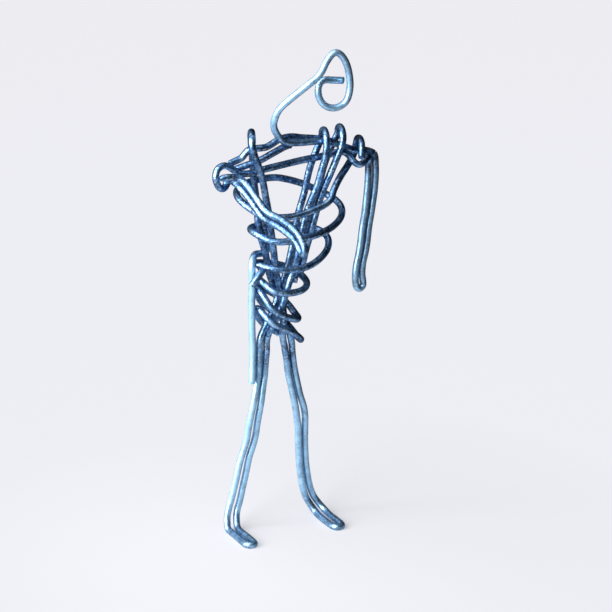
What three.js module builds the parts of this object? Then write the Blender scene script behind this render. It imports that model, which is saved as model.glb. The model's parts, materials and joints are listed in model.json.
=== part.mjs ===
// A standing figure bent by hand from soft round wire.
// Millimetres, +Z up. The figure faces -Y and +X runs along its shoulders.
// Routes are drawn on a figure of the reference sizes below and then stretched to the driving
// sizes. Side-by-side strands are spaced in lanes, so a thicker wire moves them apart.
import * as THREE from "three";

// Driving sizes
const WIRE = 2.0; // diameter of the wire
const GAP = 0.3; // clearance between two lengths of wire
const LEG_LENGTH = 54.5; // floor to the hip bend
const TORSO_LENGTH = 54; // hip bend to the shoulder bend
const SHOULDER_SPAN = 44.5; // left shoulder bend to the right shoulder bend
const STANCE = 28.5; // between the middles of the two feet
const FOOT_LENGTH = 15; // heel bend to the tip of the toe
const ARM_LENGTH = 37.4; // right arm, shoulder bend to the fingertip
const REACH = 32.4; // left arm, forward from its shoulder bend to the fingertip
const HEAD_HEIGHT = 17; // chin to crown
const NECK_RISE = 19.1; // from the neck's base to the middle of the head
const SOLE = 0.2; // depth filed off under each foot
const SIDES = 8; // sides of the wire's section
const STRAIGHT_STEP = 6; // longest step along a straight stretch
const BEND_STEP = 20; // degrees turned in one step round a bend

// Reference sizes that the routes are drawn on
const DRAWN_LANE = 2.3;
const DRAWN_HIP = 54.5;
const DRAWN_SHOULDER = 108.5;
const DRAWN_SPAN = 44.5;

const RADIUS = WIRE / 2;
const PITCH = WIRE + GAP;
const LANE = PITCH / DRAWN_LANE;
const SPREAD = SHOULDER_SPAN / DRAWN_SPAN;
const HIP_Z = LEG_LENGTH;
const SHOULDER_Z = LEG_LENGTH + TORSO_LENGTH;
const NECK_Z = SHOULDER_Z + 11 * LANE;
const HIP_INNER = 2.9 * LANE; // nearest leg strand to the middle plane
const PAST = 0.35 * WIRE; // how far a moving strand reaches past its bend's axis
const STILL = Math.hypot(RADIUS, PAST) + GAP / 3; // from the axis to the end that stays still
const STEEL = { color: 0x7f9fb4, roughness: 0.42, metalness: 0.85 };

// Stretches a drawn torso point to the driving sizes.
function body(x, y, z) {
  const share = THREE.MathUtils.clamp((z - DRAWN_HIP) / (DRAWN_SHOULDER - DRAWN_HIP), 0, 1);
  const across = THREE.MathUtils.lerp(LANE, SPREAD, share);
  const over = Math.max(0, z - DRAWN_SHOULDER);
  return new THREE.Vector3(x * across, y * LANE, HIP_Z + share * TORSO_LENGTH + over * LANE);
}

function route(points) {
  return points.map(([x, y, z]) => body(x, y, z));
}

// A smooth curve whose even steps follow the bending: short round bends, long on straights.
class BentWire extends THREE.CatmullRomCurve3 {
  constructor(points) {
    super(points, false, "centripetal");
    this.measure();
  }

  measure() {
    const fine = 40 * this.points.length;
    this.effort = [0];
    let before = this.getTangent(0);
    let here = this.getPoint(0);
    for (let i = 1; i <= fine; i++) {
      const next = this.getPoint(i / fine);
      const after = this.getTangent(i / fine);
      const turned = THREE.MathUtils.radToDeg(before.angleTo(after));
      const cost = here.distanceTo(next) / STRAIGHT_STEP + turned / BEND_STEP;
      this.effort.push(this.effort[i - 1] + cost);
      before = after;
      here = next;
    }
    this.steps = Math.ceil(this.effort[fine]);
  }

  getUtoTmapping(u) {
    const last = this.effort.length - 1;
    const wanted = u * this.effort[last];
    let low = 0;
    let high = last;
    while (high - low > 1) {
      const middle = (low + high) >> 1;
      if (this.effort[middle] > wanted) high = middle;
      else low = middle;
    }
    const span = this.effort[high] - this.effort[low];
    return (low + (wanted - this.effort[low]) / span) / last;
  }
}

// The wire's section, turned so that the middle of one side lies at the given angle.
function section(turn) {
  const shape = new THREE.Shape();
  for (let i = 0; i < SIDES; i++) {
    const angle = turn + (2 * Math.PI * (i + 0.5)) / SIDES;
    const corner = [RADIUS * Math.cos(angle), RADIUS * Math.sin(angle)];
    if (i === 0) shape.moveTo(...corner);
    else shape.lineTo(...corner);
  }
  shape.closePath();
  return shape;
}

// The section angle that faces straight down at a share of the wire's steps.
function downward(curve, share) {
  const frames = curve.computeFrenetFrames(curve.steps, false);
  const i = Math.round(share * curve.steps);
  return Math.atan2(-frames.binormals[i].z, -frames.normals[i].z);
}

const figure = new THREE.Group();
const wires = {};

function wire(name, points, downShare) {
  const curve = new BentWire(points);
  const turn = downShare === undefined ? 0 : downward(curve, downShare);
  const options = { steps: curve.steps, bevelEnabled: false, extrudePath: curve };
  const geometry = new THREE.ExtrudeGeometry(section(turn), options);
  const mesh = new THREE.Mesh(geometry, new THREE.MeshStandardMaterial(STEEL));
  mesh.name = name;
  figure.add(mesh);
  wires[name] = curve;
  return mesh;
}

// Points of a half circle that folds a wire back on itself, from one strand to the other.
function fold(from, to, outward, height = 1) {
  const middle = from.clone().lerp(to, 0.5);
  const half = from.clone().sub(middle);
  const out = outward.clone().normalize().multiplyScalar(height * half.length());
  return [1, 2, 3, 4, 5].map((i) => {
    const angle = (Math.PI * i) / 6;
    return middle.clone().addScaledVector(half, Math.cos(angle)).addScaledVector(out, Math.sin(angle));
  });
}

// Legs. A leg is a hairpin: two strands down from the hip bend, a heel, and a folded toe on the
// floor. Drawn as the middle line (x, y, share of the leg's height) and the strands' spacing.
const SOLE_Z = RADIUS - SOLE;
const FOOT_SCALE = FOOT_LENGTH / 15;
const STAGGER = 0.1 * WIRE; // how far a hairpin's two strands stand behind and before its middle
const legMiddles = {
  left: [
    [0.02, 0.1, 0.965, 1.0], [0.05, 0.6, 0.855, 1.02], [0.19, 0.0, 0.745, 1.14],
    [0.3, 0.4, 0.635, 1.22], [0.355, 1.7, 0.51, 1.27], [0.53, 2.4, 0.395, 1.3],
    [0.66, 2.9, 0.28, 1.34], [0.79, 3.4, 0.165, 1.4], [0.92, 3.4, 0.085, 1.42],
  ],
  right: [
    [0.04, 0.1, 0.965, 1.0], [0.13, 0.6, 0.86, 1.0], [0.24, 0.0, 0.74, 1.0],
    [0.37, 0.2, 0.63, 1.26], [0.44, 0.9, 0.55, 1.08], [0.47, 1.7, 0.46, 1.0], [0.53, 2.3, 0.335, 1.0],
    [0.63, 2.9, 0.205, 1.02], [0.79, 3.3, 0.1, 1.1], [0.91, 2.6, 0.055, 1.2],
  ],
};
const footLines = {
  left: [[1.4, 0.45, 1.3], [-1.2, 0, 1.1], [-6, 0, 1.2], [-10.2, 0, 1.14]],
  right: [[0.8, 0.45, 1.34], [-2, 0, 1.38], [-6, 0, 1.34], [-10.2, 0, 1.2]],
};

function leg(side) {
  const sign = side === "left" ? -1 : 1;
  const hipX = sign * (HIP_INNER + PITCH / 2);
  const footX = sign * (STANCE / 2) + 0.7;
  const strand = (lane) => {
    const points = [new THREE.Vector3(hipX + (lane * PITCH) / 2, 0, HIP_Z + PAST)];
    for (const [share, y, up, spacing] of legMiddles[side]) {
      const x = THREE.MathUtils.lerp(hipX, footX, share) + (lane * PITCH * spacing) / 2;
      points.push(new THREE.Vector3(x, y + lane * STAGGER, up * LEG_LENGTH));
    }
    for (const [y, z, spacing] of footLines[side]) {
      const x = footX + (lane * PITCH * spacing) / 2;
      points.push(new THREE.Vector3(x, 3 + (y - 3) * FOOT_SCALE, SOLE_Z + z * RADIUS));
    }
    return points;
  };
  const down = strand(-1);
  const up = strand(1);
  const toe = fold(down[down.length - 1], up[up.length - 1], new THREE.Vector3(0, -1, 0));
  return wire(side + "_leg", [...down, ...toe, ...up.reverse()], 0.5);
}

// Files the soles flat where the feet rest on the floor.
function fileSoles(mesh) {
  const spots = mesh.geometry.attributes.position;
  for (let i = 0; i < spots.count; i++) {
    if (spots.getZ(i) < 0) spots.setZ(i, 0);
  }
  return mesh;
}

fileSoles(leg("left"));
fileSoles(leg("right"));

// Straps. Each is a hairpin hung over the yoke. The strands of the two inner ones cross at the
// waist and stop just above the hip bends, in line with the strands of the opposite leg.
function hipEnd(lanes) {
  const x = Math.sign(lanes) * (HIP_INNER + (Math.abs(lanes) - 1) * PITCH);
  const lean = lanes > 0 ? -0.8 : 0.1;
  return [
    new THREE.Vector3(x + lean * LANE, -0.3 * LANE, HIP_Z + 5 * LANE),
    new THREE.Vector3(x, 0, HIP_Z + STILL),
  ];
}

function strap(name, front, back, frontHip, backHip) {
  const down = route(front);
  const up = route(back);
  const over = fold(down[0], up[0], new THREE.Vector3(0, 0, 1), 0.75);
  const frontEnd = frontHip ? hipEnd(frontHip) : [];
  const backEnd = backHip ? hipEnd(backHip) : [];
  const points = [...frontEnd.reverse(), ...down.reverse(), ...over, ...up, ...backEnd];
  return wire(name, points);
}

strap(
  "left_strap",
  [[-12.2, -10.4, 121], [-11.4, -10.4, 118], [-9.3, -9.9, 112.5], [-7.5, -8.9, 106], [-5.9, -7.8, 99.5],
    [-4.4, -6.6, 92.5], [-3.1, -5.5, 86], [-1.9, -4.2, 80.5], [0.1, -2.85, 74], [1.5, -2.2, 67]],
  [[-9.2, -3.5, 121], [-8.9, -3.5, 117.5], [-8.2, -2.9, 109.5], [-7.0, -2.0, 103], [-6, -1.2, 95],
    [-4.8, -0.5, 90], [-2.8, 0.4, 84.5], [-1.6, 1.3, 79.5], [0.4, 1.85, 73.5], [2.5, 1.4, 66]],
  1, 2,
);

strap(
  "right_strap_inner",
  [[11.1, -10.4, 118.6], [10.9, -10.4, 116], [10.1, -9.9, 112], [8.7, -9.0, 106], [6.7, -8.2, 100.5],
    [5.1, -7.4, 94], [4.0, -6.7, 87], [3.2, -6.0, 82], [1.2, -5.25, 75.5], [-0.8, -4.4, 68.5]],
  [[13.1, -3.4, 118.6], [11.6, -3.3, 115], [9.4, -2.9, 109], [8.3, -2.3, 103], [7.0, -1.9, 98],
    [5.9, -1.5, 93], [4.8, -1.1, 86], [3.6, -0.8, 80.5], [1.9, -0.5, 75], [-1.2, -0.3, 67]],
  -1, -2,
);

strap(
  "right_strap_outer",
  [[16.2, -10.4, 118.8], [15.7, -10.4, 117], [13.9, -10.0, 112.5], [12.2, -9.0, 107.5], [10.4, -8.1, 102.5],
    [9.0, -7.4, 96.5], [7.7, -6.7, 91], [6.5, -6.0, 85.5], [5.3, -5.4, 79.5]],
  [[18.3, -3.3, 118.8], [16.7, -3.3, 116], [14.4, -3.2, 111], [12.9, -2.8, 105.5], [10.6, -2.2, 98],
    [8.4, -1.6, 89.5], [7.2, -1.0, 83], [6.4, -0.6, 79], [5.8, -0.3, 75]],
);

// Yoke. Three strands across the shoulders. Two end above the right shoulder bend.
const SHOULDER_Y = -6.6 * LANE;
const ARM_X = 26.3 * SPREAD; // inner strand of the right arm
function shoulderEnd(lane) {
  return new THREE.Vector3(ARM_X + lane * PITCH, SHOULDER_Y, SHOULDER_Z + STILL);
}

wire("yoke_upper", [
  ...route([[-16.2, -4.1, 114.7], [-15.2, -4.1, 115.1], [-13.4, -4.2, 115.6], [-12.4, -4.4, 116.2],
    [-11.7, -4.8, 117.3], [-10.6, -5.4, 118.4], [-7.7, -5.9, 118.6], [-5.9, -5.9, 118.6],
    [-3.5, -5.6, 119.3], [-1.4, -5.4, 120.1], [0.9, -5.4, 120.4], [2.6, -5.4, 120.4], [5.0, -5.4, 119.9],
    [7.4, -5.5, 119.4], [12.9, -5.8, 118.2], [18.7, -5.5, 115.4], [23.3, -5.2, 113.5],
    [26.3, -5.0, 113.0]]),
  new THREE.Vector3(ARM_X + PITCH * 0.95, SHOULDER_Y + 0.6 * LANE, SHOULDER_Z + 3.5 * LANE),
  shoulderEnd(1),
]);

wire("yoke_middle", route([[-14.3, -4.4, 113.0], [-11.3, -5.2, 114.0], [-7.4, -6.3, 115.3],
  [-4.9, -6.4, 116.3], [-2.0, -6.2, 117.3], [0.6, -5.8, 118.0], [2.3, -5.6, 118.1]]));

// The lower strand turns down in a curl at the left shoulder and stops behind the left arm's bend.
const LEFT_BEND = body(-16.8, -7.6, 110.6);
wire("yoke_lower", [
  LEFT_BEND.clone().add(new THREE.Vector3(0, STILL, 0)),
  ...route([[-16.9, -4.9, 110.3], [-17.4, -4.5, 109.0], [-18.6, -5.3, 108.2], [-20.2, -6.2, 108.8],
    [-21.4, -6.8, 110.6], [-21.8, -6.8, 112.6], [-21.2, -6.6, 114.3], [-19.8, -6.5, 115.2],
    [-18, -6.5, 115.0], [-16.4, -6.7, 113.8], [-14.4, -7.0, 112.5], [-11.5, -7.3, 112.2],
    [-7.5, -7.2, 112.6], [1, -7.2, 113.4], [7.2, -7.3, 113.8], [13.4, -7.3, 114.2], [17.7, -7.6, 114.4],
    [19.3, -8.0, 113.4], [20.2, -8.8, 112.0], [21.0, -9.4, 111.0], [22.0, -9.8, 110.7],
    [23.1, -9.7, 111.1], [24.1, -9.1, 111.8]]),
  new THREE.Vector3(ARM_X - PITCH * 0.5, SHOULDER_Y - 1.7 * LANE, SHOULDER_Z + 3.6 * LANE),
  new THREE.Vector3(ARM_X - PITCH * 0.1, SHOULDER_Y - 0.6 * LANE, SHOULDER_Z + 2.9 * LANE),
  shoulderEnd(0),
]);

// Right arm, a hairpin that hangs from its shoulder bend. Drawn as the middle line (x, y, share of
// the arm's length) and the strands' spacing.
const rightArmMiddle = [
  [0.05, -0.1, 0.06, 1.02], [-0.4, -0.3, 0.2, 1.1], [-1.3, -0.4, 0.36, 1.0], [-2.1, -0.3, 0.5, 1.0],
  [-2.8, -0.4, 0.64, 1.02], [-3.9, -0.4, 0.77, 1.0], [-4.2, -0.4, 0.86, 1.02], [-3.85, -0.4, 0.935, 1.06],
];

function rightArm() {
  const middleX = ARM_X + PITCH / 2;
  const strand = (lane) => {
    const start = new THREE.Vector3(middleX + (lane * PITCH) / 2, SHOULDER_Y, SHOULDER_Z + PAST);
    const rest = rightArmMiddle.map(([x, y, share, spacing]) => {
      const offset = x + (lane * PITCH * spacing) / 2;
      const depth = SHOULDER_Y + y + lane * STAGGER * Math.min(1, 4 * share);
      return new THREE.Vector3(middleX + offset, depth, SHOULDER_Z - share * ARM_LENGTH);
    });
    return [start, ...rest];
  };
  const down = strand(1);
  const up = strand(-1);
  const hand = fold(down[down.length - 1], up[up.length - 1], new THREE.Vector3(0, 0, -1));
  return wire("right_arm", [...down, ...hand, ...up.reverse()]);
}

rightArm();

// Left arm, a hairpin that reaches forward from its shoulder bend. The free end of its upper
// strand lies across the front of the curl. Drawn from the bend: across, share of the reach, up.
const lowerStrand = [[0.2, 0.062, -0.3], [0.9, 0.142, -1.7], [1.7, 0.235, -3.6], [2.2, 0.308, -5.2],
  [3.1, 0.404, -7.4], [4.4, 0.565, -8.2], [5.4, 0.685, -9.0], [6.1, 0.812, -10.6], [6.3, 0.907, -12.7]];
const upperStrand = [[6.5, 0.957, -11.0], [6.4, 0.852, -8.4], [5.6, 0.704, -6.6], [4.7, 0.583, -5.8],
  [3.4, 0.444, -5.2], [2.4, 0.352, -3.0], [1.9, 0.278, -1.2], [1.0, 0.16, 1.0], [0, 0.123, 2.0],
  [-1.9, 0.105, 2.5], [-3.8, 0.093, 2.5], [-5.3, 0.08, 2.3]];

function leftArm() {
  const at = ([x, share, rise]) =>
    new THREE.Vector3(x * LANE, -share * REACH, rise * LANE).add(LEFT_BEND);
  const start = LEFT_BEND.clone().add(new THREE.Vector3(0, PAST, 0));
  const lower = lowerStrand.map(at);
  const upper = upperStrand.map(at);
  const hand = fold(lower[lower.length - 1], upper[0], new THREE.Vector3(0.05, -0.7, -0.7));
  return wire("left_arm", [start, ...lower, ...hand, ...upper]);
}

leftArm();

// Head. The neck's straight base lies along the yoke, so the head nods about it.
const NECK = new THREE.Vector3(0.8 * SPREAD, -8.0 * LANE, NECK_Z);
const NECK_LINE = new THREE.Vector3(1, 0, -0.08); // the base drops a little to the right
const HEAD_SCALE = HEAD_HEIGHT / 17;

function headWire() {
  const base = [12.2, 9, 5, 2, 0].map((x) => NECK.clone().addScaledVector(NECK_LINE, x * SPREAD));
  const crook = [[-2.0, -0.1, 0.7], [-4.0, -0.5, 2.65], [-5.9, -1.6, 6.15], [-6.1, -2.9, 8.95],
    [-5.3, -4.0, 11.55], [-3.6, -5.2, 13.75]];
  const neck = crook.map(([x, y, z]) =>
    new THREE.Vector3(NECK.x + x * SPREAD, NECK.y + y * LANE, NECK.z + z * LANE));
  const centre = new THREE.Vector3(NECK.x + 9.4 * SPREAD, NECK.y - 8 * LANE, NECK.z + NECK_RISE);
  const loop = [[-7.4, 0.1, -0.2], [-4.6, -0.5, 2.1], [-2.1, -0.5, 6.1], [-0.4, -0.5, 7.7], [0.9, -0.5, 7.8],
    [2.4, -0.5, 6.6], [3.9, -0.5, 4.0], [4.9, -0.5, -0.5], [4.8, -0.3, -4], [3.7, 0, -6.9], [1.1, 0.5, -8.3],
    [-1.6, 1, -7.7], [-3.2, 1.5, -5.9], [-3.9, 1.7, -3.1], [-3.3, 1.7, -0.9], [-2.0, 1.6, -0.2],
    [1.0, 1.7, -0.65], [4.1, 1.95, -1.15]];
  const head = loop.map(([x, y, z]) =>
    new THREE.Vector3(x * HEAD_SCALE, y * LANE, z * HEAD_SCALE).add(centre));
  return wire("head_wire", [...base, ...neck, ...head]);
}

headWire();

// Wraps. Each goes right, front, left, back and round again. A quarter turn at a time, the
// half-turn extremes across, the half-turn extremes in depth and the heights are real sizes. A dip
// lowers the wire between two quarters.
function swing(values, halfTurns) {
  const k = Math.min(Math.floor(halfTurns), values.length - 2);
  const share = (1 - Math.cos(Math.PI * (halfTurns - k))) / 2;
  return THREE.MathUtils.lerp(values[k], values[k + 1], share);
}

function climb(values, quarters) {
  const k = Math.min(Math.floor(quarters), values.length - 2);
  const [a, b, c, d] = [k - 1, k, k + 1, k + 2].map((i) => values[THREE.MathUtils.clamp(i, 0, values.length - 1)]);
  const f = quarters - k;
  const bend = f * (c - a + f * (2 * a - 5 * b + 4 * c - d + f * (3 * (b - c) + d - a)));
  return b + bend / 2;
}

function wrapPoints({ across, depth, height, dips }, from, to) {
  const points = [];
  const count = Math.round((to - from) * 4);
  for (let i = 0; i <= count; i++) {
    const quarters = from + ((to - from) * i) / count;
    const x = swing(across, quarters / 2);
    const y = swing(depth, (quarters + 1) / 2);
    const dip = (dips[Math.floor(quarters)] ?? 0) * Math.sin(Math.PI * quarters) ** 2;
    points.push(body(x, y, climb(height, quarters) - dip));
  }
  return points;
}

const chest = {
  across: [21, -14.1, 18.4, -9.1, 14.8, -8.2, 8.6],
  depth: [-1, -14.6, 4.2, -13, 4.8, -11, 5.6, -9],
  height: [113, 100.8, 104.8, 105.7, 97.8, 92.8, 93.7, 91.4, 88.6, 83, 84.2, 84, 84],
  dips: { 1: 1.5, 3: 0.8, 5: 1.1 },
};
const tie = route([[21.7, -11.2, 112.9], [21.9, -11.0, 115], [22.5, -9.5, 116.9], [23.4, -6.9, 117.4],
  [24.2, -4.0, 116.5], [24.4, -2.7, 114.2], [23.9, -2.7, 112.2], [22.6, -3.6, 110.8], [20.7, -5.5, 110.0],
  [18.1, -8.0, 109.3], [15.0, -10.7, 107.9], [12.3, -12.5, 105.6]]);
wire("chest_wrap", [...tie, ...wrapPoints(chest, 0.75, 9.82)]);

const hips = {
  across: [-5.2, 8.6, -5.9, 6.0, -6.1, 7.1, -5.9, 6],
  depth: [-2, 5.4, -8.2, 5.6, -7.4, 5.6, -6.8, 5.6, -6],
  height: [81.8, 79.6, 76.2, 75, 78, 71.5, 65.4, 67.6, 75.2, 66, 57.8, 63.2, 69, 60.5, 55.5],
  dips: { 3: 1.1, 5: -0.9, 7: 1.2, 9: -0.5, 11: 0.9 },
};
const cutEnd = route([[-10.0, -5.0, 77.8], [-8.1, -4.9, 80.1], [-6.2, -4.0, 81.4]]);
wire("hip_wrap", [...cutEnd, ...wrapPoints(hips, 0, 13.4)]);

// Side wire. It runs up the outside of the left hip, hooks over and goes on up behind the left strap.
const sideX = -(HIP_INNER + 2 * PITCH);
wire("side_wire", [
  new THREE.Vector3(sideX - 0.6 * LANE, -0.8 * LANE, HIP_Z - 8.2),
  new THREE.Vector3(sideX - 0.25 * LANE, -0.6 * LANE, HIP_Z - 4),
  new THREE.Vector3(sideX - 0.1 * LANE, -0.4 * LANE, HIP_Z),
  ...route([[-7.8, -0.7, 62], [-8.3, -1.4, 70], [-8.4, -2.1, 77.5], [-8.5, -2.2, 81.5], [-8.4, -2.1, 83.2],
    [-7.8, -1.4, 84.4], [-6.7, 0.0, 84.9], [-5.3, 1.7, 84.7], [-3.7, 2.7, 84.2], [-2.3, 3.1, 84.2],
    [-1.1, 2.9, 85.0], [-0.9, 2.3, 86.7], [-1.7, 1.4, 88.8], [-3.0, 0.95, 91.6], [-3.9, 0.8, 95.5],
    [-4.7, 0.8, 99.5]]),
]);

// Least gap of each wound wire to itself, on points further apart along it than one turn of bend.
function selfGap(name) {
  const curve = wires[name];
  const length = curve.getLength();
  const count = Math.ceil(length / 0.5);
  const points = [];
  for (let i = 0; i <= count; i++) points.push(curve.getPoint(i / count));
  const along = [0];
  for (let i = 1; i <= count; i++) along.push(along[i - 1] + points[i].distanceTo(points[i - 1]));
  let least = Infinity;
  for (let i = 0; i <= count; i++) {
    for (let j = i + 1; j <= count; j++) {
      if (along[j] - along[i] < 3.5 * WIRE) continue;
      least = Math.min(least, points[i].distanceTo(points[j]));
    }
  }
  return least - WIRE;
}

for (const name of ["chest_wrap", "hip_wrap"]) {
  console.log(`${name}: least gap to itself ${selfGap(name).toFixed(2)} mm`);
}

// The origin is the middle of the box's underside.
const box = new THREE.Box3().setFromObject(figure, true);
const shift = new THREE.Vector3((box.min.x + box.max.x) / 2, (box.min.y + box.max.y) / 2, box.min.z);
for (const mesh of figure.children) mesh.geometry.translate(-shift.x, -shift.y, -shift.z);

const bends = {
  head_nod: NECK.clone(),
  left_arm_swing: LEFT_BEND.clone(),
  right_arm_swing: new THREE.Vector3(ARM_X, SHOULDER_Y, SHOULDER_Z),
  left_hip_swing: new THREE.Vector3(-HIP_INNER, 0, HIP_Z),
  right_hip_swing: new THREE.Vector3(HIP_INNER, 0, HIP_Z),
};
for (const [name, point] of Object.entries(bends)) {
  const at = point.sub(shift).toArray().map((v) => v.toFixed(3));
  console.log(`${name} at ${at.join(", ")}`);
}

export default figure;
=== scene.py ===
"""Looks of a standing figure bent by hand from soft drawn wire.

Each wire of the frame is swept again as a fine round wire along the same middle line, with ovalled
bends, hand-bent waviness and pinched cut ends. Wires that run on from the torso into a hip or shoulder
are swept as one smooth wire with the limb. Lengths are in metres; MM turns millimetres into metres.
"""
import json
import math
from itertools import product

import bpy
import numpy as np
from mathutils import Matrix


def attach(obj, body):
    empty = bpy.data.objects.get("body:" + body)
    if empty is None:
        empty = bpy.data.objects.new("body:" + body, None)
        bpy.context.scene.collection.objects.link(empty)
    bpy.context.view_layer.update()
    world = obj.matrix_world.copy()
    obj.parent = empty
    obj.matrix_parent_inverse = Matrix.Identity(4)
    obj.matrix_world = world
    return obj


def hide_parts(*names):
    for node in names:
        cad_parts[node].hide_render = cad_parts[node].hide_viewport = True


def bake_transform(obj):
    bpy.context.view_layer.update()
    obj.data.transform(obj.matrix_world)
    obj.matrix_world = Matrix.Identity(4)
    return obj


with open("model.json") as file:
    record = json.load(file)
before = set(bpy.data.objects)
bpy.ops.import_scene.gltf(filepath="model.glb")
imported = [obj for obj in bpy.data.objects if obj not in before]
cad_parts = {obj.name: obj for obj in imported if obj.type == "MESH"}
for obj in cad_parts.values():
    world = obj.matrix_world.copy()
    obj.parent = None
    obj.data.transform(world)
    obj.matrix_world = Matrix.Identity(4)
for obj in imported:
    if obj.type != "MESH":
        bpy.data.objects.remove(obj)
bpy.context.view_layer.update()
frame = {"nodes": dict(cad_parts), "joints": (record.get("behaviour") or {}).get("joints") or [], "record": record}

MM = 0.001

# The wire.
WIRE_RADIUS = 1.0 * MM
RING_STEP = 0.4 * MM
RING_SIDES = 20
OVAL_SHARE = 0.055  # how far a tight bend flattens the wire's section
TIGHT_BEND = 0.5  # wire radius over bend radius at which it is flattened most
PINCH_LENGTH = 0.9 * MM  # the cutters' wedge at a free end
PINCH_SHARE = 0.42
PINCH_POWER = 1.4

# Hand-bent waviness off the middle line. Each way across has two waves: length over a turn of one
# radian, and how far the wire's own phase shifts it.
WAVE_HEIGHT = 0.025 * MM
WAVE_FADE = 5 * MM
SECOND_WAVE = 0.7  # height of the second wave over the first
SIDE_WAVES = ((2.1 * MM, 1.0), (1.27 * MM, 2.3))
UPWARD_WAVES = ((1.73 * MM, 3.1), (2.9 * MM, 0.6))
WIRE_PHASE = 1.7

# Reading the CAD wires.
WELD = 0.001 * MM  # corners on the same point of this grid are one
CENTRE_GRID = 0.05 * MM
CIRCLE_SLACK = 0.01 * MM
FINE_STEP = 0.1 * MM
ENDS = (0, -1)
MEETING_REACH = 1.2 * MM  # a torso wire that ends this near to a limb's end runs on into it

# The camera and what it looks at.
AIM = np.array([2.583, 9.160, 70.0]) * MM
CAMERA_DISTANCE = 900 * MM
CAMERA_AZIMUTH = -27.0
CAMERA_ELEVATION = 20.0
FRAME_WIDTH = 174.86 * MM

# The wire's colours, from dark to pale, and where in the noise each begins.
TONES = [(0.32, (0.018, 0.045, 0.10)), (0.52, (0.10, 0.26, 0.55)), (0.72, (0.36, 0.60, 0.88))]
MARK_COLOUR = (0.010, 0.018, 0.034)
MARK_SHARES = [(0.35, (0.9, 0.9, 0.9)), (0.52, (0, 0, 0))]
# Painted highlight: a pale colour, in random patches, laid on where the wire should look lit
HIGHLIGHT_COLOUR = (0.42, 0.73, 1.0)
HIGHLIGHT_PATCHES = [(0.36, (0.66, 0.66, 0.66)), (0.58, (1, 1, 1))]
SPECK_COLOUR = (0.56, 0.81, 1.0)
SPECK_SHARES = [(0.51, (0, 0, 0)), (0.66, (0.8, 0.8, 0.8))]
ROUGHNESS = (0.48, 0.27)  # from dull metal to specks
METALLIC = (0.95, 0.68)  # from blue wire to wire with painted highlight

# Painted highlight: share of pale colour over the blue on each piece, and where it falls off to painted shade.
PAINTED_HIGHLIGHT = {"left_leg": 1.0, "right_leg": 0.85, "side_wire": 1.0, "head_wire": 0.8, "left_arm": 0.05,
          "right_arm": 0.6, "hip_wrap": 0.1}
TOE_HEIGHT = 9 * MM  # the legs get less painted highlight below this height
TOE_SHARE = 0.3
HIGHLIGHT_FALL = {"right_arm": 4 * MM}  # distance from its bend over which a limb's painted highlight grows
HIGHLIGHT_FALL_USUAL = 10 * MM  # the same for the other limbs
HOOK_HEIGHT = 87 * MM  # above this the side wire lies in the dark behind the left strap: painted shade, no painted highlight
HOOK_FALL = 4 * MM
NECK_HEIGHT = 118 * MM  # above this the head's wire gets its painted highlight; below, along the yoke, it keeps painted shade
NECK_FALL = 7 * MM

# The floor and the background, in metres and linear colours.
FLOOR_HALF = 9.0
NEAR_PALE = (0.85, 0.86, 0.91)  # the floor's even paleness by the feet
FAR_PALE = (0.845, 0.84, 0.885)  # the same far away, and the background
PALE_NEAR, PALE_FAR = 0.05, 0.65
GROUND_LIT = (0.05, 0.055, 0.07)  # the floor that throws light back on the wire
GROUND_SEEN = (0.55, 0.55, 0.58)  # the floor that the camera sees
FLOOR_GLOW = 0.55  # share of the even paleness in what the camera sees by the feet
GLOW_REACH = (0.03, 0.11)  # from here to here that share grows to all of it
MIRROR_PLACE = (-0.08, -0.06, 0)  # the wire mirrors the pale floor most round this place
MIRROR_REACH = (0.13, 0.28)
MIRROR_SHARES = (0.9, 0.02)

# The lamps and the dim world that lights the wire.
LAMP_AIM = (0, 0, 0.07)
LAMP_SIZE = 0.8
DIM_WORLD = (0.011, 0.012, 0.014)

# Wires that run on from the torso into a limb: limb, the joint they bend at, the length that the limb
# takes over from the torso's wire, and the stretch over which it bends, from torso to limb.
BENDS = {
    "left_leg": ("left_hip_swing", 4.2 * MM, (0, 0, 4.0 * MM), (0, 0, -3.6 * MM)),
    "right_leg": ("right_hip_swing", 4.2 * MM, (0, 0, 4.0 * MM), (0, 0, -3.6 * MM)),
    "right_arm": ("right_arm_swing", 2.4 * MM, (0, 0, 3.1 * MM), (0, 0, -3.3 * MM)),
    "left_arm": ("left_arm_swing", 1.6 * MM, (0, 2.5 * MM, 0), (0, -1.6 * MM, 0)),
}


def unit(vectors):
    """Each row divided by its own length."""
    return vectors / np.maximum(np.linalg.norm(vectors, axis=-1, keepdims=True), 1e-12)


def corners_and_triangles(node):
    """The corners of a CAD wire, each once, and its triangles as corner numbers."""
    mesh = frame["nodes"][node].data
    mesh.calc_loop_triangles()
    places = np.zeros(len(mesh.vertices) * 3)
    mesh.vertices.foreach_get("co", places)
    triangles = np.zeros(len(mesh.loop_triangles) * 3, np.int32)
    mesh.loop_triangles.foreach_get("vertices", triangles)
    grid = np.round(places.reshape(-1, 3) / WELD).astype(np.int64)
    kept, number = np.unique(grid, axis=0, return_inverse=True)
    return kept * WELD, number.reshape(-1)[triangles].reshape(-1, 3)


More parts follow.
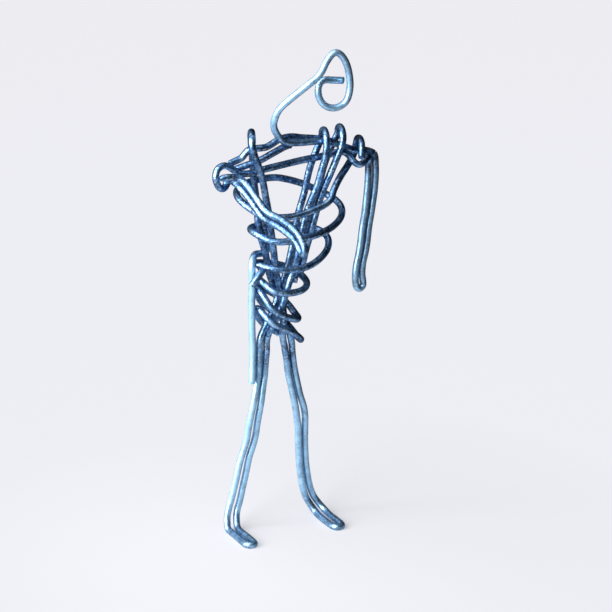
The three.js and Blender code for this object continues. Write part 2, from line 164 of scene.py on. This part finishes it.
def end_rings(corners, triangles):
    """The two end faces of a CAD wire, each as a set of corner numbers.

    All triangles of an end face have their corners on the wire's own circle, so they share one
    circumcentre, at the wire's radius from each corner.
    """
    a, b, c = (corners[triangles[:, i]] for i in range(3))
    ab, ac = b - a, c - a
    normal = np.cross(ab, ac)
    size = np.maximum((normal ** 2).sum(1, keepdims=True), 1e-24)
    across = np.cross(normal, ab) * (ac ** 2).sum(1, keepdims=True)
    across += np.cross(ac, normal) * (ab ** 2).sum(1, keepdims=True)
    to_centre = across / (2 * size)
    on_circle = np.abs(np.linalg.norm(to_centre, axis=1) - WIRE_RADIUS) < CIRCLE_SLACK
    centres = np.round((a + to_centre) / CENTRE_GRID).astype(np.int64)
    groups, member = np.unique(centres[on_circle], axis=0, return_inverse=True)
    member = member.reshape(-1)
    counts = np.bincount(member, minlength=len(groups))
    ends = np.argsort(-counts)[:2]
    return [np.unique(triangles[on_circle][member == end]) for end in ends]


def middle_line(node):
    """Middle line of a CAD wire: the means of its rings of corners, from one end face to the other.

    A ring is the set of corners that share an edge with the ring before it.
    """
    corners, triangles = corners_and_triangles(node)
    edges = np.concatenate([triangles[:, [0, 1]], triangles[:, [1, 2]], triangles[:, [2, 0]]])
    edges = np.concatenate([edges, edges[:, ::-1]])
    ring = end_rings(corners, triangles)[0]
    seen = np.zeros(len(corners), bool)
    line = []
    while len(ring):
        line.append(corners[ring].mean(0))
        seen[ring] = True
        here = np.zeros(len(corners), bool)
        here[ring] = True
        beside = np.unique(edges[here[edges[:, 0]], 1])
        ring = beside[~seen[beside]]
    return np.array(line)


def arc_lengths(line):
    """Length along a line up to each of its points."""
    steps = np.linalg.norm(np.diff(line, axis=0), axis=1)
    return np.concatenate([[0.0], np.cumsum(steps)])


def smooth_line(points, step):
    """Points at even steps on a smooth curve through the given points.

    Between two points the curve is a cubic whose end slopes are the slopes of the parabolas through
    each point and its two neighbours.
    """
    along = arc_lengths(points)
    slopes = np.gradient(points, along, axis=0, edge_order=2)
    fine = np.linspace(0, along[-1], max(8, int(along[-1] / FINE_STEP)))
    i = np.clip(np.searchsorted(along, fine, side="right") - 1, 0, len(along) - 2)
    width = (along[i + 1] - along[i])[:, None]
    t = ((fine - along[i])[:, None]) / width
    curve = points[i] * (1 + 2 * t) * (1 - t) ** 2 + slopes[i] * width * t * (1 - t) ** 2
    curve += points[i + 1] * t ** 2 * (3 - 2 * t) + slopes[i + 1] * width * t ** 2 * (t - 1)
    return even_steps(curve, step)


def even_steps(curve, step):
    """The same curve with points at even steps of about the given length."""
    along = arc_lengths(curve)
    even = np.linspace(0, along[-1], max(4, round(along[-1] / step)))
    return np.stack([np.interp(even, along, curve[:, k]) for k in range(3)], axis=1)


def carried_frame(line):
    """Two directions across the wire at each point, carried along it without twist.

    The first direction is turned from point to point by reflecting it in the plane between the two
    points and then in the plane between the two tangents.
    """
    tangent = unit(np.gradient(line, axis=0))
    across = np.zeros_like(line)
    first = np.eye(3)[np.argmin(np.abs(tangent[0]))]
    across[0] = unit(first - tangent[0] * (first @ tangent[0]))
    for i in range(len(line) - 1):
        step = line[i + 1] - line[i]
        share = 2 / (step @ step)
        turned = across[i] - share * (step @ across[i]) * step
        slope = tangent[i] - share * (step @ tangent[i]) * step
        change = tangent[i + 1] - slope
        size = max(change @ change, 1e-18)
        across[i + 1] = turned - (2 / size) * (change @ turned) * change
    across = unit(across - tangent * (across * tangent).sum(1, keepdims=True))
    return tangent, across, np.cross(tangent, across)


def two_waves(along, phase, waves):
    """sin(along / l1 + f1 x phase) + SECOND_WAVE x sin(along / l2 + f2 x phase)."""
    (first, first_shift), (second, second_shift) = waves
    wave = np.sin(along / first + first_shift * phase)
    return wave + SECOND_WAVE * np.sin(along / second + second_shift * phase)


def waved(line, seed):
    """The line with a slight hand-bent waviness, two waves each way across, faded at both ends."""
    _, across, upward = carried_frame(line)
    along = arc_lengths(line)
    fade = np.clip(np.minimum(along, along[-1] - along) / WAVE_FADE, 0, 1)[:, None]
    phase = seed * WIRE_PHASE
    offset = across * two_waves(along, phase, SIDE_WAVES)[:, None]
    offset += upward * two_waves(along, phase, UPWARD_WAVES)[:, None]
    return line + WAVE_HEIGHT * fade * fade * offset


def wire_surface(line, cut_start, cut_end):
    """Grid of points round a line: middle + radius x (cos a x across + sin a x upward).

    The radius shrinks towards the inside and outside of a bend and grows across it, by a share of
    the bend's sharpness. Near a cut end the section is pinched to a wedge.
    """
    tangent, across, upward = carried_frame(line)
    along = arc_lengths(line)
    angle = np.linspace(0, 2 * np.pi, RING_SIDES, endpoint=False)
    spoke = across[:, None] * np.cos(angle)[:, None] + upward[:, None] * np.sin(angle)[:, None]
    bend = np.gradient(tangent, along, axis=0)
    sharpness = np.clip(np.linalg.norm(bend, axis=1) * WIRE_RADIUS / TIGHT_BEND, 0, 1)
    towards = (spoke * unit(bend)[:, None]).sum(2)
    radius = WIRE_RADIUS * (1 - OVAL_SHARE * sharpness[:, None] * (2 * towards ** 2 - 1))
    surface = line[:, None] + radius[:, :, None] * spoke
    for is_cut, distance in ((cut_start, along), (cut_end, along[-1] - along)):
        if is_cut:
            near = np.clip(1 - distance / PINCH_LENGTH, 0, 1) ** PINCH_POWER
            out = ((surface - line[:, None]) * across[:, None]).sum(2)
            surface -= (PINCH_SHARE * near)[:, None, None] * out[:, :, None] * across[:, None]
    return surface, along


def wire_mesh(name, line, cut_start, cut_end, flat_below=None):
    """A closed wire as a mesh: the swept grid as four-sided faces, and a face over each end."""
    surface, along = wire_surface(line, cut_start, cut_end)
    if flat_below is not None:
        surface[:, :, 2] = np.maximum(surface[:, :, 2], flat_below)
    rings = len(line)
    ring, side = np.meshgrid(np.arange(rings - 1), np.arange(RING_SIDES), indexing="ij")
    following = (side + 1) % RING_SIDES
    quads = np.stack([ring * RING_SIDES + side, ring * RING_SIDES + following,
                      (ring + 1) * RING_SIDES + following, (ring + 1) * RING_SIDES + side], axis=2)
    quads = quads.reshape(-1, 4)
    first_cap = np.arange(RING_SIDES)[::-1]
    last_cap = (rings - 1) * RING_SIDES + np.arange(RING_SIDES)
    mesh = bpy.data.meshes.new(name)
    faces = quads.tolist() + [first_cap.tolist(), last_cap.tolist()]
    mesh.from_pydata(surface.reshape(-1, 3).tolist(), [], faces)
    u = np.stack([along[ring], along[ring], along[ring + 1], along[ring + 1]], axis=2) / MM
    v = np.stack([side, side + 1, side + 1, side], axis=2) / RING_SIDES
    sides_uv = np.stack([u, v], axis=3).reshape(-1, 2)
    caps_uv = np.zeros((2 * RING_SIDES, 2))
    layer = mesh.uv_layers.new(name="along_and_round")
    layer.data.foreach_set("uv", np.concatenate([sides_uv, caps_uv]).astype(np.float32).ravel())
    mesh.polygons.foreach_set("use_smooth", np.ones(len(quads) + 2, bool))
    mesh.update()
    sharp = mesh.attributes.new("sharp_edge", "BOOLEAN", "EDGE")
    ends = np.zeros(len(mesh.edges) * 2, np.int32)
    mesh.edges.foreach_get("vertices", ends)
    ring_of = ends.reshape(-1, 2) // RING_SIDES
    rim = (ring_of[:, 0] == ring_of[:, 1]) & ((ring_of[:, 0] == 0) | (ring_of[:, 0] == rings - 1))
    sharp.data.foreach_set("value", rim)
    piece = bpy.data.objects.new(name, mesh)
    bpy.context.scene.collection.objects.link(piece)
    return piece


def new_material(name):
    """An empty node material with its shader."""
    material = bpy.data.materials.new(name)
    material.use_nodes = True
    nodes = material.node_tree.nodes
    return material, nodes, material.node_tree.links, nodes["Principled BSDF"]


def ramp(nodes, links, factor, stops):
    """A colour ramp with the given stops, fed from a factor."""
    node = nodes.new("ShaderNodeValToRGB")
    elements = node.color_ramp.elements
    while len(elements) < len(stops):
        elements.new(0.5)
    for element, (position, colour) in zip(elements, stops):
        element.position = position
        element.color = (*colour, 1)
    links.new(factor, node.inputs["Fac"])
    return node.outputs["Color"]


def noise(nodes, links, vector, scale, detail, roughness):
    """A noise texture on the given coordinates."""
    node = nodes.new("ShaderNodeTexNoise")
    node.inputs["Scale"].default_value = scale
    node.inputs["Detail"].default_value = detail
    node.inputs["Roughness"].default_value = roughness
    links.new(vector, node.inputs["Vector"])
    return node.outputs["Fac"]


def mapped(nodes, links, vector, scale):
    """Coordinates scaled by the three given factors."""
    node = nodes.new("ShaderNodeMapping")
    node.inputs["Scale"].default_value = scale
    links.new(vector, node.inputs["Vector"])
    return node.outputs["Vector"]


def mix_to(nodes, links, factor, first, second):
    """Mixes a colour output towards one even colour by a factor."""
    node = nodes.new("ShaderNodeMix")
    node.data_type = "RGBA"
    links.new(factor, node.inputs["Factor"])
    links.new(first, node.inputs[6])
    node.inputs[7].default_value = (*second, 1)
    return node.outputs[2]


def maths(nodes, links, operation, first, second):
    """Two values joined by one operation."""
    node = nodes.new("ShaderNodeMath")
    node.operation = operation
    links.new(first, node.inputs[0])
    links.new(second, node.inputs[1])
    return node.outputs["Value"]


def ranged(nodes, links, value, before, after):
    """A value carried from one range to another and held at its ends."""
    node = nodes.new("ShaderNodeMapRange")
    links.new(value, node.inputs["Value"])
    node.inputs["From Min"].default_value, node.inputs["From Max"].default_value = before
    node.inputs["To Min"].default_value, node.inputs["To Max"].default_value = after
    return node.outputs["Result"]


def by_camera_ray(nodes, links, rays, otherwise, seen):
    """One colour for what the camera sees and another one for all other rays."""
    node = nodes.new("ShaderNodeMix")
    node.data_type = "RGBA"
    links.new(rays.outputs["Is Camera Ray"], node.inputs["Factor"])
    node.inputs[6].default_value = (*otherwise, 1)
    node.inputs[7].default_value = (*seen, 1)
    return node.outputs[2]


def drawn_wire_material():
    """Satin blue drawn wire: mottled tone, dark handling marks, patchy painted highlight, pale specks, draw lines.
    """
    material, nodes, links, shader = new_material("drawn_wire")
    coords = nodes.new("ShaderNodeTexCoord")
    in_mm = mapped(nodes, links, coords.outputs["Object"], (1000, 1000, 1000))
    mottle = noise(nodes, links, in_mm, 0.42, 5, 0.6)
    tone = ramp(nodes, links, mottle, TONES)
    handling = noise(nodes, links, in_mm, 0.95, 6, 0.7)
    marked = mix_to(nodes, links, ramp(nodes, links, handling, MARK_SHARES), tone, MARK_COLOUR)
    # painted highlight: pale colour mixed over the blue by each piece's stored share, in random patches; the share
    # also lowers the metallic
    painted_highlight = nodes.new("ShaderNodeAttribute")
    painted_highlight.attribute_name = "painted_highlight"
    patchy = ramp(nodes, links, mottle, HIGHLIGHT_PATCHES)
    highlight_share = maths(nodes, links, "MULTIPLY", painted_highlight.outputs["Fac"], patchy)
    highlighted = mix_to(nodes, links, highlight_share, marked, HIGHLIGHT_COLOUR)
    specks = noise(nodes, links, in_mm, 1.6, 4, 0.65)
    finish = mix_to(nodes, links, ramp(nodes, links, specks, SPECK_SHARES), highlighted, SPECK_COLOUR)
    links.new(finish, shader.inputs["Base Color"])
    links.new(ranged(nodes, links, specks, (0, 1), ROUGHNESS), shader.inputs["Roughness"])
    links.new(ranged(nodes, links, painted_highlight.outputs["Fac"], (0, 1), METALLIC), shader.inputs["Metallic"])
    shader.inputs["Specular Tint"].default_value = (0.06, 0.13, 0.26, 1)
    shader.inputs["Coat Weight"].default_value = 0.25
    shader.inputs["Coat Roughness"].default_value = 0.3
    shader.inputs["Coat IOR"].default_value = 1.6
    draw_lines = mapped(nodes, links, coords.outputs["UV"], (0.35, 26, 1))
    streaks = noise(nodes, links, draw_lines, 1.0, 3, 0.5)
    grain = noise(nodes, links, in_mm, 3.2, 4, 0.6)
    bump = nodes.new("ShaderNodeBump")
    bump.inputs["Strength"].default_value = 0.35
    bump.inputs["Distance"].default_value = 0.05 * MM
    links.new(maths(nodes, links, "ADD", streaks, grain), bump.inputs["Height"])
    links.new(bump.outputs["Normal"], shader.inputs["Normal"])
    return material


def joint_place(name):
    """Where a joint's axis is, in metres."""
    return np.array(next(joint["pos_m"] for joint in frame["joints"] if joint["name"] == name))


def paint_highlight(piece, node):
    """Stores the share of painted highlight, s being the piece's own share.

    A limb has s * clamp(distance from its bend / fall, 0, 1) * clamp(z / TOE_HEIGHT, TOE_SHARE, 1), so
    that its painted highlight grows away from the bend and the toes stay darker. The side wire has
    s * clamp((HOOK_HEIGHT - z) / HOOK_FALL, 0, 1), painted shade behind the left strap, the head's wire
    s * clamp((z - NECK_HEIGHT) / NECK_FALL, 0, 1), painted shade at its foot, and the other wires s.
    """
    mesh = piece.data
    points = np.empty(3 * len(mesh.vertices), np.float32)
    mesh.vertices.foreach_get("co", points)
    places = points.reshape(-1, 3)
    shares = np.full(len(mesh.vertices), PAINTED_HIGHLIGHT.get(node, 0.0), np.float32)
    if node == "side_wire":
        shares *= np.clip((HOOK_HEIGHT - places[:, 2]) / HOOK_FALL, 0, 1)
    if node == "head_wire":
        shares *= np.clip((places[:, 2] - NECK_HEIGHT) / NECK_FALL, 0, 1)
    if node in BENDS:
        away = np.linalg.norm(places - joint_place(BENDS[node][0]), axis=1)
        fall = HIGHLIGHT_FALL.get(node, HIGHLIGHT_FALL_USUAL)
        shares *= np.clip(away / fall, 0, 1) * np.clip(places[:, 2] / TOE_HEIGHT, TOE_SHARE, 1)
    mesh.attributes.new("painted_highlight", "FLOAT", "POINT").data.foreach_set("value", shares)


def take_over(lines, limb, limb_end, node, end, taken):
    """Gives the last stretch of a torso wire to the limb that it runs on into."""
    wire = lines[node] if end == -1 else lines[node][::-1]
    count = max(2, round(taken / RING_STEP))
    shared, rest = wire[-count - 1:], wire[:-count]
    lines[node] = rest if end == -1 else rest[::-1]
    limb_line = lines[limb] if limb_end == 0 else lines[limb][::-1]
    joined = np.concatenate([shared, limb_line[2:]])
    lines[limb] = joined if limb_end == 0 else joined[::-1]


def build_figure():
    """Every wire of the frame as a fine wire. Limbs take over the last stretch of the torso's wires."""
    body_of = {}
    for body, members in frame["record"]["behaviour"]["bodies"].items():
        body_of.update({node: body for node in members})
    lines = {node: smooth_line(middle_line(node), RING_STEP) for node in body_of}
    cut = {node: [True, True] for node in lines}
    torso = [node for node, body in body_of.items() if body == "torso"]
    for limb, limb_end in product(BENDS, ENDS):
        tip = lines[limb][limb_end]
        for node, end in product(torso, ENDS):
            if np.linalg.norm(lines[node][end] - tip) <= MEETING_REACH:
                take_over(lines, limb, limb_end, node, end, BENDS[limb][1])
                cut[node][end] = False
                cut[limb][limb_end] = False
    finish = drawn_wire_material()
    for seed, (node, line) in enumerate(lines.items()):
        line = waved(smooth_line(line, RING_STEP), seed)
        soles = 0.0 if node.endswith("leg") else None
        piece = wire_mesh(node + "_wire", line, cut[node][0], cut[node][1], soles)
        # painted highlight and painted shade, stored on each point of the piece
        paint_highlight(piece, node)
        piece.data.materials.append(finish)
        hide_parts(node)
        if node in BENDS:
            joint, _, start, end = BENDS[node]
            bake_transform(piece)
        else:
            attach(piece, body_of[node])


def pale_floor_material():
    """A matt floor mixed with an even pale glow.

    The camera sees the glow, and by the feet also the lit floor with its shadows. The wire mirrors the
    glow only near MIRROR_PLACE, and all other light meets the lit floor.
    """
    material, nodes, links, shader = new_material("pale_floor")
    rays = nodes.new("ShaderNodeLightPath")
    shader.inputs["Specular IOR Level"].default_value = 0
    links.new(by_camera_ray(nodes, links, rays, GROUND_LIT, GROUND_SEEN), shader.inputs["Base Color"])
    coords = nodes.new("ShaderNodeTexCoord")
    away = nodes.new("ShaderNodeVectorMath")
    away.operation = "LENGTH"
    links.new(coords.outputs["Object"], away.inputs[0])
    glow = nodes.new("ShaderNodeEmission")
    paleness = ramp(nodes, links, away.outputs["Value"], [(PALE_NEAR, NEAR_PALE), (PALE_FAR, FAR_PALE)])
    links.new(paleness, glow.inputs["Color"])
    beside = nodes.new("ShaderNodeVectorMath")
    beside.operation = "DISTANCE"
    links.new(coords.outputs["Object"], beside.inputs[0])
    beside.inputs[1].default_value = MIRROR_PLACE
    fading = ranged(nodes, links, beside.outputs["Value"], MIRROR_REACH, MIRROR_SHARES)
    mirrored = maths(nodes, links, "MULTIPLY", rays.outputs["Is Glossy Ray"], fading)
    even = ranged(nodes, links, away.outputs["Value"], GLOW_REACH, (FLOOR_GLOW, 1))
    direct = maths(nodes, links, "MULTIPLY", rays.outputs["Is Camera Ray"], even)
    share = maths(nodes, links, "MAXIMUM", direct, mirrored)
    share = maths(nodes, links, "MAXIMUM", share, rays.outputs["Is Transmission Ray"])
    blend = nodes.new("ShaderNodeMixShader")
    links.new(share, blend.inputs["Fac"])
    links.new(shader.outputs["BSDF"], blend.inputs[1])
    links.new(glow.outputs["Emission"], blend.inputs[2])
    links.new(blend.outputs["Shader"], nodes["Material Output"].inputs["Surface"])
    return material


def build_floor():
    """A wide plain floor."""
    corners = [(x * FLOOR_HALF, y * FLOOR_HALF, 0) for x, y in ((-1, -1), (1, -1), (1, 1), (-1, 1))]
    mesh = bpy.data.meshes.new("floor")
    mesh.from_pydata(corners, [], [(0, 1, 2, 3)])
    mesh.materials.append(pale_floor_material())
    floor = bpy.data.objects.new("floor", mesh)
    bpy.context.scene.collection.objects.link(floor)


def area_light(name, place, power, colour):
    """A large soft square lamp at a place, turned to the figure."""
    data = bpy.data.lights.new(name, "AREA")
    data.shape = "SQUARE"
    data.size = LAMP_SIZE
    data.energy = power
    data.color = colour
    lamp = bpy.data.objects.new(name, data)
    lamp.visible_camera = False
    lamp.location = place
    lamp.rotation_euler = direction_turn(np.array(LAMP_AIM) - np.array(place))
    bpy.context.scene.collection.objects.link(lamp)


def direction_turn(direction):
    """Rotation that turns an object's -Z to a direction, with its Y kept upright."""
    x, y, z = direction
    flat = math.hypot(x, y)
    return (math.atan2(flat, -z), 0, math.atan2(y, x) - math.pi / 2)


def build_light():
    """Plain studio light: a soft key on the left, a weak top light, and a dim world that looks pale."""
    area_light("key", place=(-0.72, -0.12, 0.36), power=25.0, colour=(1.0, 0.99, 0.98))
    area_light("top", place=(-0.30, 0.05, 0.85), power=5.0, colour=(0.98, 0.99, 1.0))
    world = bpy.data.worlds.new("studio")
    bpy.context.scene.world = world
    world.use_nodes = True
    nodes = world.node_tree.nodes
    links = world.node_tree.links
    rays = nodes.new("ShaderNodeLightPath")
    sky = by_camera_ray(nodes, links, rays, DIM_WORLD, FAR_PALE)
    links.new(sky, nodes["Background"].inputs["Color"])


def build_camera():
    """The photograph's viewpoint."""
    azimuth, elevation = math.radians(CAMERA_AZIMUTH), math.radians(CAMERA_ELEVATION)
    out = np.array([math.sin(azimuth) * math.cos(elevation), -math.cos(azimuth) * math.cos(elevation),
                    math.sin(elevation)])
    data = bpy.data.cameras.new("camera")
    data.angle = 2 * math.atan(FRAME_WIDTH / 2 / CAMERA_DISTANCE)
    camera = bpy.data.objects.new("camera", data)
    camera.location = AIM + out * CAMERA_DISTANCE
    camera.rotation_euler = direction_turn(-out)
    bpy.context.scene.collection.objects.link(camera)
    bpy.context.scene.camera = camera


build_camera()
build_figure()
build_floor()
build_light()
bpy.context.scene.view_settings.view_transform = "Standard"
